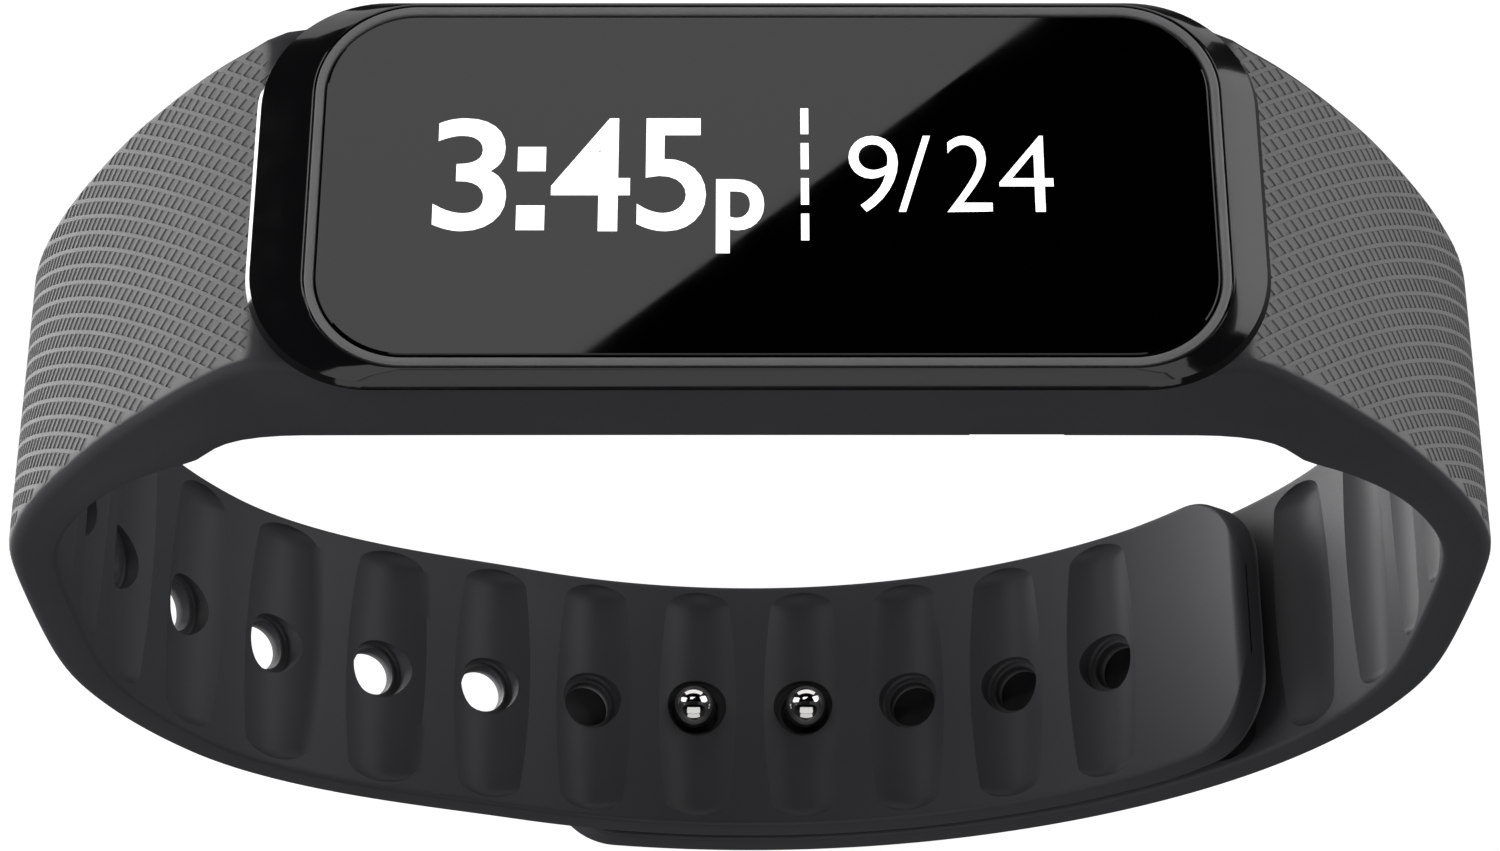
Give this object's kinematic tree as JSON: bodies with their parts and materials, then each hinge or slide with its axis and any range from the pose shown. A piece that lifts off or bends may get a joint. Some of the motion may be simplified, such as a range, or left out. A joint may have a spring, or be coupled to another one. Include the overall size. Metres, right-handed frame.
{
  "type": "fitness tracker band",
  "caption": "Fitness tracker pod with a display in a closed circular silicone wristband, fastened by ball studs through strap holes.",
  "frame": {"origin": "the middle of the clasp plate's underside, at the lowest point of the closed band", "axes": "+Z out of the display, +X along the display to the reader's right, +Y along the wearer's wrist, away from the reader"},
  "size_m": [0.0714, 0.019, 0.0657],
  "materials": {
    "silicone": "matt silicone, rows of small embossed rectangles outside",
    "clasp_steel": "brushed",
    "stud_steel": "polished",
    "bezel_black": "piano black",
    "trim_grey": "satin dark grey",
    "display_glass": "polished, dark from behind",
    "seal_rubber": "matt",
    "sensor_film": "gloss",
    "display_panel": "gloss",
    "flex_copper": "satin",
    "frame_metal": "satin",
    "circuit_board": "satin solder mask",
    "chip_black": "matt",
    "antenna_ceramic": "matt",
    "battery_foil": "satin foil",
    "lead_insulation": "satin",
    "rotor_alloy": "satin",
    "housing_black": "fine matt",
    "contact_gold": "polished"
  },
  "bodies": {
    "band": {"band_cradle": "silicone", "long_strap_shoulder": "silicone", "long_strap_side": "silicone", "long_strap": "silicone", "short_strap": "silicone"},
    "strap_tip": {"long_strap_tip": "silicone"},
    "stud_strap": {"stud_strap_end": "silicone", "clasp_plate": "clasp_steel", "clasp_studs": "stud_steel"},
    "pod": {"top_bezel": "bezel_black", "trim_ring": "trim_grey", "cover_glass": "display_glass", "glass_gasket": "seal_rubber", "touch_sensor": "sensor_film", "oled_panel": "display_panel", "display_flex": "flex_copper", "display_frame": "frame_metal", "main_board": "circuit_board", "processor_chip": "chip_black", "memory_chip": "chip_black", "motion_sensor": "chip_black", "radio_chip": "chip_black", "shield_can": "frame_metal", "antenna": "antenna_ceramic", "battery": "battery_foil", "battery_leads": "lead_insulation", "motor_case": "clasp_steel", "motor_shaft": "clasp_steel", "bottom_housing": "housing_black", "housing_seal": "seal_rubber", "housing_screws": "clasp_steel", "charging_contacts": "contact_gold"},
    "motor_rotor": {"rotor_weight": "rotor_alloy"}
  },
  "joints": [
    {"name": "pod_release", "type": "slide", "parent": "band", "child": "pod", "axis": [0, 0, 1], "range_m": [0, 0.012]},
    {"name": "strap_tip_flex", "type": "hinge", "parent": "band", "child": "strap_tip", "pos_m": [0.00609, 0, 0.00551], "axis": [0, -1, 0], "range_deg": [0, 35], "stiffness_Nm_per_rad": 0.004},
    {"name": "stud_strap_flex", "type": "hinge", "parent": "band", "child": "stud_strap", "pos_m": [0.01797, 0, 0.00393], "axis": [0, -1, 0], "range_deg": [0, 70], "stiffness_Nm_per_rad": 0.004, "springref_deg": -17.19},
    {"name": "motor_spin", "type": "hinge", "parent": "pod", "child": "motor_rotor", "pos_m": [0.0128, 0, 0.0618], "axis": [0, 0, 1], "continuous": true}
  ]
}
